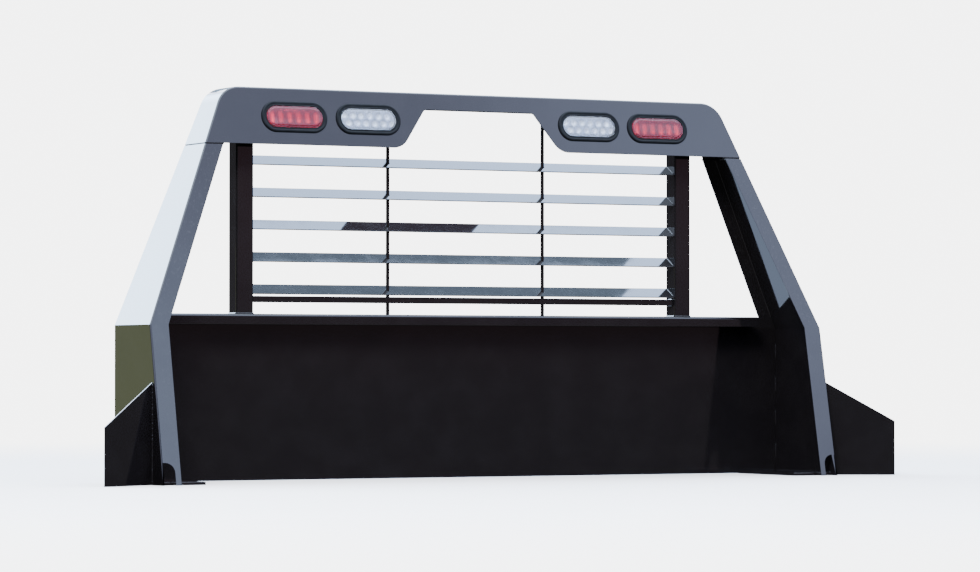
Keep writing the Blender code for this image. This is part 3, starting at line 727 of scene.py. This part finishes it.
def oval_slab(name, length, height, top, bottom, columns, rows, cup=None):
    """Closed oval body between two height functions of (x, y, inset), in mm.

    inset is the distance in from the oval's edge, and cup(x, y) marks the top's vertices.
    """
    radius = height / 2.0 / MM
    straight = length / 2.0 / MM - radius
    places = [-straight - radius * math.cos(math.pi / 2.0 * step / TIP_COLUMNS)
              for step in range(TIP_COLUMNS)]
    places += [straight * (2.0 * step / columns - 1.0) for step in range(columns + 1)]
    places += [straight + radius * math.sin(math.pi / 2.0 * (step + 1) / TIP_COLUMNS)
               for step in range(TIP_COLUMNS)]
    bm = bmesh.new()
    mark = bm.verts.layers.float.new("cup")
    sheets = []
    for surface in (top, bottom):
        grid = []
        for x in places:
            past = max(0.0, abs(x) - straight)
            half = math.sqrt(max(0.0, radius * radius - past * past))
            column = []
            for row in range(rows + 1):
                y = half * math.sin(math.pi / 2.0 * (2.0 * row / rows - 1.0))
                inset = radius - math.hypot(past, y)
                vert = bm.verts.new((x * MM, y * MM, surface(x, y, inset) * MM))
                if cup is not None and surface is top:
                    vert[mark] = cup(x, y)
                column.append(vert)
            grid.append(column)
        sheets.append(grid)
    upper, lower = sheets
    for grid in sheets:
        for left, right in zip(grid, grid[1:]):
            for row in range(rows):
                bm.faces.new((left[row], right[row], right[row + 1], left[row + 1]))
    for row in (0, rows):
        for index in range(len(places) - 1):
            bm.faces.new((
                upper[index][row], upper[index + 1][row],
                lower[index + 1][row], lower[index][row],
            ))
    for index in (0, len(places) - 1):
        for row in range(rows):
            bm.faces.new((
                upper[index][row], upper[index][row + 1],
                lower[index][row + 1], lower[index][row],
            ))
    bmesh.ops.remove_doubles(bm, verts=bm.verts[:], dist=SAME_GRID_POINT)
    bmesh.ops.dissolve_degenerate(bm, dist=SAME_GRID_POINT, edges=bm.edges[:])
    bmesh.ops.recalc_face_normals(bm, faces=bm.faces[:])
    return as_mesh(bm, name, CREASE)


def ease(value, low, high):
    """Smooth step from 0 at low to 1 at high."""
    share = min(1.0, max(0.0, (value - low) / (high - low)))
    return share * share * (3.0 - 2.0 * share)


# Lamp sizes from here to the lamps' own coordinates are in mm. Z there is the lamp's
# axis, 0 on the face of the head panel.
GROMMET_SIZE = (178.0, 70.0)    # opening in the head panel, which the profile runs round
LENS_SIZE = (164.6, 58.0)
REFLECTOR_SIZE = (158.4, 51.8)
RIM_RADIUS = 1.8
RIM_TOP = 5.4                   # height of the flat land inside the rim
STEP_PLACE = (4.2, 5.6)         # inset where the land steps up
STEP_RISE = 0.7
DOME_RISE = 0.9
DOME_HALF = 23.5                # half height of the dome
LENS_HALF = LENS_SIZE[1] / 2.0
JOINT_Z = 2.0                   # joint face of the lens
JOINT_PLACE = (3.0, 4.4)        # inset where the joint face ends and the wall begins
LENS_WALL = 2.0
FLUTE_PITCH = 3.25
FLUTE_DEPTH = 0.45
FLUTE_PLACE = (5.0, 6.5)        # inset where the flutes begin


def lens_top(x, y, inset):
    """Rounded rim, flat land, a small step, then a low dome."""
    if inset < RIM_RADIUS:
        rim = math.sqrt(max(0.0, RIM_RADIUS ** 2 - (RIM_RADIUS - inset) ** 2))
        return RIM_TOP - RIM_RADIUS + rim
    dome = 1.0 - ((LENS_HALF - min(inset, LENS_HALF)) / DOME_HALF) ** 2
    return RIM_TOP + STEP_RISE * ease(inset, *STEP_PLACE) + DOME_RISE * max(0.0, dome)


def lens_bottom(x, y, inset):
    """Joint face at the rim, then a wall of even thickness with upright flutes."""
    if inset < JOINT_PLACE[0]:
        return JOINT_Z
    flute = FLUTE_DEPTH * abs(math.sin(math.pi * x / FLUTE_PITCH)) * ease(inset, *FLUTE_PLACE)
    wall = lens_top(x, y, inset) - LENS_WALL - flute
    return JOINT_Z + (wall - JOINT_Z) * ease(inset, *JOINT_PLACE)


BAY_PITCH = 26.0                # spacing of troughs and of round cups
BAY_HALF = (11.5, 19.0)         # half width and half height of a trough
BAY_CURVE = (2.2, 1.5)          # how sharply it deepens, across and at its ends
BAYS = 6
BAY_REACH = 2.6                 # no trough further out than this many pitches
ROUND_RADIUS = 11.8
ROUND_CURVE = 1.3               # how sharply a round cup deepens
ROUND_ROWS = ((10.2, 0.0), (-10.2, 0.5))   # height of a row, its shift in pitches
ROUND_START = 0.25              # shift of both rows, in pitches
ROUND_REACH = 2.8               # no cup further out than this many pitches
CUP_DEPTH = 6.2


def bay_depth(x, y):
    """Depth share of the upright troughs of a red lamp."""
    nearest = (round(x / BAY_PITCH - 0.5) + 0.5) * BAY_PITCH
    if abs(nearest) > BAY_REACH * BAY_PITCH:
        return 0.0
    across = abs(x - nearest) / BAY_HALF[0]
    along = abs(y) / BAY_HALF[1]
    if across >= 1.0 or along >= 1.0:
        return 0.0
    return math.cos(math.pi / 2.0 * across) ** BAY_CURVE[0] * (1.0 - along ** 4) ** BAY_CURVE[1]


def round_depth(x, y):
    """Depth share of the two staggered rows of round cups of a clear lamp."""
    best = 0.0
    for row_y, shift in ROUND_ROWS:
        nearest = (round(x / BAY_PITCH - ROUND_START - shift) + ROUND_START + shift) * BAY_PITCH
        if abs(nearest) > ROUND_REACH * BAY_PITCH:
            continue
        reach = math.hypot(x - nearest, y - row_y) / ROUND_RADIUS
        if reach < 1.0:
            best = max(best, math.cos(math.pi / 2.0 * reach) ** ROUND_CURVE)
    return best


def cup_centres(kind):
    """Where the emitters of a lamp sit, in mm."""
    if kind == "red":
        return [((step - (BAYS - 1) / 2.0) * BAY_PITCH, 0.0) for step in range(BAYS)]
    centres = []
    for row_y, shift in ROUND_ROWS:
        for step in range(-4, 4):
            x = (step + ROUND_START + shift) * BAY_PITCH
            if abs(x) <= ROUND_REACH * BAY_PITCH:
                centres.append((x, row_y))
    return centres


CHIP_SIDE = 4.6
CHIP_HEIGHT = 1.0
CHIP_EDGE = 0.25
CHIP_DOME = 1.75                # radius of the clear dome on a chip


def emitter_mesh(name, kind, base_z):
    """Light-emitting chips: a square body with a clear dome, one in each cup."""
    bm = bmesh.new()
    for x, y in cup_centres(kind):
        body = bmesh.ops.create_cube(bm, size=1.0)["verts"]
        bmesh.ops.scale(bm, vec=(CHIP_SIDE * MM, CHIP_SIDE * MM, CHIP_HEIGHT * MM), verts=body)
        edges = list(dict.fromkeys(edge for vert in body for edge in vert.link_edges))
        grown = bmesh.ops.bevel(
            bm, geom=edges, offset=CHIP_EDGE * MM, segments=2, profile=0.5, affect="EDGES",
        )["verts"]
        moved = list(dict.fromkeys([*[vert for vert in body if vert.is_valid], *grown]))
        middle_z = base_z + CHIP_HEIGHT / 2.0
        bmesh.ops.translate(bm, vec=(x * MM, y * MM, middle_z * MM), verts=moved)
        dome = bmesh.ops.create_uvsphere(
            bm, u_segments=20, v_segments=12, radius=CHIP_DOME * MM,
        )["verts"]
        bmesh.ops.translate(bm, vec=(x * MM, y * MM, (base_z + CHIP_HEIGHT) * MM), verts=dome)
    return as_mesh(bm, name)


PIN_SPACING = 9.5
PIN_RADIUS = (1.25, 1.55)       # at the tip and at the root
PIN_EDGE = 0.5


def pin_mesh(name, low_z, high_z):
    """Three tapered round pins inside the socket on the lamp's back."""
    bm = bmesh.new()
    for place in (-1.0, 0.0, 1.0):
        made = bmesh.ops.create_cone(
            bm, cap_ends=True, segments=20, radius1=PIN_RADIUS[0] * MM,
            radius2=PIN_RADIUS[1] * MM, depth=(high_z - low_z) * MM,
        )["verts"]
        middle_z = (high_z + low_z) / 2.0
        bmesh.ops.translate(bm, vec=(place * PIN_SPACING * MM, 0.0, middle_z * MM), verts=made)
    rims = [edge for edge in bm.edges if edge.calc_face_angle(0.0) > 1.0]
    bmesh.ops.bevel(bm, geom=rims, offset=PIN_EDGE * MM, segments=3, profile=0.5, affect="EDGES")
    return as_mesh(bm, name)


GROMMET_PROFILE = (
    (-6.1, -12.0), (4.2, -12.0), (5.1, -11.6), (5.5, -10.6), (5.5, -3.6),
    (5.2, -3.3), (-0.3, -3.3), (-0.3, 0.3), (7.1, 0.3), (7.5, 0.8), (7.6, 1.8),
    (7.4, 3.0), (6.8, 4.1), (5.8, 5.0), (4.6, 5.5), (3.2, 5.7), (1.6, 5.6),
    (0.2, 5.2), (-0.9, 4.6), (-1.8, 4.5), (-2.7, 4.9), (-3.6, 5.3), (-4.6, 5.3),
    (-5.4, 4.9), (-5.9, 4.1), (-6.1, 2.4),
)
REFLECTOR_TOP = -0.8
REFLECTOR_BACK = -8.0
PIN_TIP = -34.0
PIN_ROOT = -23.0
grommet = oval_ring("lamp_grommet", *(side * MM for side in GROMMET_SIZE), GROMMET_PROFILE)
lens_shapes = {
    kind: oval_slab(
        f"lens_{kind}", *(side * MM for side in LENS_SIZE), lens_top, lens_bottom,
        columns=196, rows=40,
    )
    for kind in ("red", "clear")
}
reflectors = {}
for kind, depth in (("red", bay_depth), ("clear", round_depth)):
    reflectors[kind] = oval_slab(
        f"reflector_{kind}", *(side * MM for side in REFLECTOR_SIZE),
        lambda x, y, inset: REFLECTOR_TOP - CUP_DEPTH * depth(x, y),
        lambda x, y, inset: REFLECTOR_BACK,
        columns=160, rows=72, cup=lambda x, y: ease(depth(x, y), 0.0, 1.0),
    )
emitters = {
    kind: emitter_mesh(f"emitters_{kind}", kind, REFLECTOR_TOP - CUP_DEPTH) for kind in reflectors
}
pins = pin_mesh("socket_pins", PIN_TIP, PIN_ROOT)
lens_finish = {"red": red_lens, "clear": clear_lens}
reflector_finish = {"red": red_reflector, "clear": clear_reflector}
face_normal = Vector((0.0, -math.cos(LEAN), math.sin(LEAN)))
face_turn = Matrix.Rotation(math.radians(90.0) - LEAN, 4, "X")


def place_lamp_piece(name, shape, placement, material, slot, *replaced):
    """Copy of a shape made in lamp coordinates, put into its place on the rack."""
    add_piece(name, shape.copy(), material, slot, *replaced, weighted=False, placement=placement)


for number, kind in LAMPS.items():
    low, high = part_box(f"lamp_lens_{number}")
    origin = (low + high) / 2.0 - face_normal * LENS_MIDDLE
    placement = Matrix.Translation(origin) @ face_turn
    place_lamp_piece(f"lamp_grommet_{number}_rubber", grommet, placement, rubber, "rubber",
                     f"lamp_grommet_{number}")
    place_lamp_piece(f"lamp_lens_{number}_fluted", lens_shapes[kind], placement, lens_finish[kind],
                     f"{kind}_lens", f"lamp_lens_{number}")
    place_lamp_piece(f"lamp_reflector_{number}", reflectors[kind], placement,
                     reflector_finish[kind], "board_coating")
    place_lamp_piece(f"lamp_emitters_{number}", emitters[kind], placement,
                     lens_finish["clear"], "board_coating")
    place_lamp_piece(f"lamp_pins_{number}", pins, placement, pin_metal, "board_coating")
    housing = refined(f"lamp_housing_{number}", edge_radius=0.5 * MM)
    add_piece(f"lamp_housing_{number}_moulding", housing, housing_plastic, "housing_plastic",
              f"lamp_housing_{number}")
    nodes[f"lamp_board_{number}"].material_slots[0].material = board_coating


# ---------------------------------------------------------------- studio
BACKDROP = (5.6, 5.63, 5.66)
FLOOR_TONES = ((0.61, 0.58, 0.54), (0.64, 0.61, 0.57))
FLOOR_RADIUS = 90.0
FLOOR_DROP = 0.2 * MM           # how far the floor lies under the CAD feet
FLOOR_FADE = (1.8, 6.0)         # distances between which the floor turns into backdrop
SKYLINE = (0.125, 0.115, 0.12)
WARM_SKYLINE = (0.42, 0.26, 0.32)
GROUND = (0.55, 0.55, 0.57)
LOW_SKY = (2.2, 2.5, 3.6)
HIGH_SKY = (6.0, 7.0, 8.8)
# Lobes of the dome: direction, outer and inner cosine, radiance.
LOW_SKY_LOBES = (
    ((0.543, -0.748, 0.383), 0.9950, 0.9992, (3.1, 3.6, 5.1)),
    ((0.375, -0.858, 0.350), 0.9965, 0.9999, (3.5, 4.2, 5.9)),
)
SKY_LOBES = (
    ((-0.40, 0.85, 0.35), 0.82, 0.95, (16.0, 20.5, 26.5)),
    ((0.47, 0.45, 0.76), 0.84, 0.95, (6.1, 7.9, 11.3)),
    ((0.33, 0.88, 0.33), 0.965, 0.990, (9.0, 10.0, 12.0)),
)
GROUND_LOBES = (((-0.364, 0.841, -0.400), 0.955, 0.99, (1.6, 2.0, 2.8)),)
DOME_LOBES = (((0.42, 0.89, 0.14), 0.985, 0.997, (5.0, 5.6, 6.6)),)
WARM_LOBE = ((0.47, -0.88, 0.03), 0.90, 0.97)


def make_world():
    """Pale to the camera; to everything else a soft dome with a dark skyline."""
    world = bpy.data.worlds.new("studio")
    world.use_nodes = True
    tree = world.node_tree
    tree.nodes.clear()
    ray = put(tree, "ShaderNodeTexCoord").outputs["Generated"]
    axes = put(tree, "ShaderNodeSeparateXYZ", {0: ray})
    height = axes.outputs["Z"]

    def toward(direction, low, high):
        """Smooth lobe around a direction, between two cosines."""
        unit = Vector(direction).normalized()
        cosine = put(tree, "ShaderNodeVectorMath", {0: ray, 1: unit}, operation="DOT_PRODUCT")
        return value_range(tree, cosine.outputs["Value"], low, high, 0.0, 1.0, True)

    def above(low, high):
        """Share that grows smoothly between two heights on the dome."""
        return value_range(tree, height, low, high, 0.0, 1.0, True)

    def with_lobes(color, lobes):
        """Colour with lobes laid over it, one after another."""
        for direction, low, high, radiance in lobes:
            color = blend_color(tree, toward(direction, low, high), color, radiance)
        return color

    warm = times(tree, above(-0.02, 0.05), toward(*WARM_LOBE))
    skyline = blend_color(tree, warm, SKYLINE, WARM_SKYLINE)
    low_sky = with_lobes(LOW_SKY, LOW_SKY_LOBES)
    sky = with_lobes(blend_color(tree, above(0.45, 0.75), low_sky, HIGH_SKY), SKY_LOBES)
    ground = with_lobes(blend_color(tree, above(-0.08, -0.30), skyline, GROUND), GROUND_LOBES)
    dome = with_lobes(blend_color(tree, above(0.07, 0.24), ground, sky), DOME_LOBES)
    lit = put(tree, "ShaderNodeBackground", {0: dome})
    seen = put(tree, "ShaderNodeBackground", {0: (*BACKDROP, 1.0)})
    path = put(tree, "ShaderNodeLightPath")
    both = put(tree, "ShaderNodeMixShader", {
        0: path.outputs["Is Camera Ray"], 1: lit.outputs[0], 2: seen.outputs[0],
    })
    out = put(tree, "ShaderNodeOutputWorld")
    tree.links.new(both.outputs[0], out.inputs["Surface"])
    bpy.context.scene.world = world


def make_floor():
    """Matte pale floor that fades into the backdrop away from the rack."""
    bm = bmesh.new()
    bmesh.ops.create_circle(bm, cap_ends=True, segments=96, radius=FLOOR_RADIUS)
    mesh = bpy.data.meshes.new("studio_floor")
    bm.to_mesh(mesh)
    bm.free()
    floor = bpy.data.objects.new("studio_floor", mesh)
    bpy.context.scene.collection.objects.link(floor)
    floor.location.z = cad_low.z - FLOOR_DROP
    floor.visible_glossy = False
    floor.visible_diffuse = False
    floor.visible_transmission = False
    mat, tree, shader, place = finish_material("studio_floor_paint", IOR=1.4)
    mottle = grain(tree, place, 3.0, 4.0)
    matte = put(tree, "ShaderNodeBsdfDiffuse", {
        "Color": blend_color(tree, mottle, *FLOOR_TONES),
    })
    distance = put(tree, "ShaderNodeVectorMath", {0: place}, operation="LENGTH").outputs["Value"]
    fade = value_range(tree, distance, *FLOOR_FADE, 0.0, 1.0, True)
    glow = put(tree, "ShaderNodeEmission", {0: (*BACKDROP, 1.0)})
    both = put(tree, "ShaderNodeMixShader", {0: fade, 1: matte.outputs[0], 2: glow.outputs[0]})
    out = next(item for item in tree.nodes if item.type == "OUTPUT_MATERIAL")
    tree.nodes.remove(shader)
    tree.links.new(both.outputs[0], out.inputs["Surface"])
    mat.cycles.emission_sampling = "NONE"
    mesh.materials.append(mat)
    floor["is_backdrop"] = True


def reflection_card(name, y, x_range, z_range, radiance):
    """Upright card that only mirror reflections see, as a flag beside a studio set."""
    x_low, x_high = x_range
    z_low, z_high = z_range
    corners = ((x_low, y, z_low), (x_high, y, z_low), (x_high, y, z_high), (x_low, y, z_high))
    bm = bmesh.new()
    bm.faces.new([bm.verts.new(corner) for corner in corners])
    mesh = bpy.data.meshes.new(name)
    bm.to_mesh(mesh)
    bm.free()
    card = bpy.data.objects.new(name, mesh)
    bpy.context.scene.collection.objects.link(card)
    for kind in ("camera", "diffuse", "transmission", "shadow", "volume_scatter"):
        setattr(card, "visible_" + kind, False)
    mat = bpy.data.materials.new(name)
    mat.use_nodes = True
    tree = mat.node_tree
    tree.nodes.clear()
    glow = put(tree, "ShaderNodeEmission", {0: (*radiance, 1.0)})
    out = put(tree, "ShaderNodeOutputMaterial")
    tree.links.new(glow.outputs[0], out.inputs["Surface"])
    mat.cycles.emission_sampling = "NONE"
    mesh.materials.append(mat)
    card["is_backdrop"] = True


def soft_box(name, place, aim, size, power, color):
    """Round area light aimed at a point, unseen by the camera and by mirrors."""
    light = bpy.data.lights.new(name, "AREA")
    light.shape = "DISK"
    light.size = size
    light.energy = power
    light.color = color
    lamp = bpy.data.objects.new(name, light)
    bpy.context.scene.collection.objects.link(lamp)
    lamp.location = place
    lamp.rotation_euler = (Vector(aim) - Vector(place)).to_track_quat("-Z", "Y").to_euler()
    lamp.visible_glossy = False
    lamp.visible_camera = False


make_world()
make_floor()
reflection_card("hedge_card", 2.5, (-4.8, -1.93), (-0.5, 0.72), (0.66, 0.74, 0.40))
reflection_card("cab_card", 0.44, (-0.70, 0.87), (0.96, 1.167), (0.80, 1.10, 1.50))
reflection_card("stop_lamp_card", 0.25, (-0.266, 0.149), (0.833, 0.925), (0.17, 0.13, 0.20))
KEY_PLACE = (-3.4, -4.2, 5.0)
centre = (cad_low + cad_high) / 2.0
soft_box("key_softbox", KEY_PLACE, centre, size=2.4, power=1100.0, color=(1.0, 0.99, 0.97))

# ---------------------------------------------------------------- camera
CAMERA_PLACE = (-5.1439, -9.5583, 0.3084)
CAMERA_AIM = (0.0010, 0.0, 0.525)
CAMERA_LENS = 146.5             # mm
SENSOR_WIDTH = 36.0             # mm
FAR_LIMIT = 300.0
camera_data = bpy.data.cameras.new("camera")
camera_data.lens = CAMERA_LENS
camera_data.sensor_width = SENSOR_WIDTH
camera_data.clip_end = FAR_LIMIT
camera = bpy.data.objects.new("camera", camera_data)
bpy.context.scene.collection.objects.link(camera)
camera.location = CAMERA_PLACE
sight = Vector(CAMERA_AIM) - Vector(CAMERA_PLACE)
camera.rotation_euler = sight.to_track_quat("-Z", "Y").to_euler()
bpy.context.scene.camera = camera

low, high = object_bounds()
